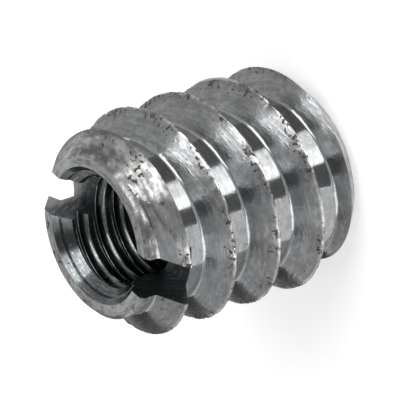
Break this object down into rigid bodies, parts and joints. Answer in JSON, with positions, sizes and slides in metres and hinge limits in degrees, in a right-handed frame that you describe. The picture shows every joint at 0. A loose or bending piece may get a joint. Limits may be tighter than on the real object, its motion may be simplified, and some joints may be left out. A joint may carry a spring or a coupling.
{
  "type": "threaded insert",
  "caption": "Slotted steel insert with a coarse outer wood thread and a tapped through bore, which gives timber a reusable machine-screw thread.",
  "frame": {"origin": "centre of the plain foot, on the bore's axis, in the plane of the flat ring that the insert stands on", "axes": "+Z along the bore axis towards the slotted end; +X along the screwdriver slot, towards its deeper end"},
  "size_m": [0.0102, 0.0102, 0.0117],
  "materials": {
    "steel": "bright turned steel, satin on the flanks and polished in the roots, with small pits and torn crests"
  },
  "bodies": {
    "root": {"insert": "steel"}
  },
  "joints": []
}
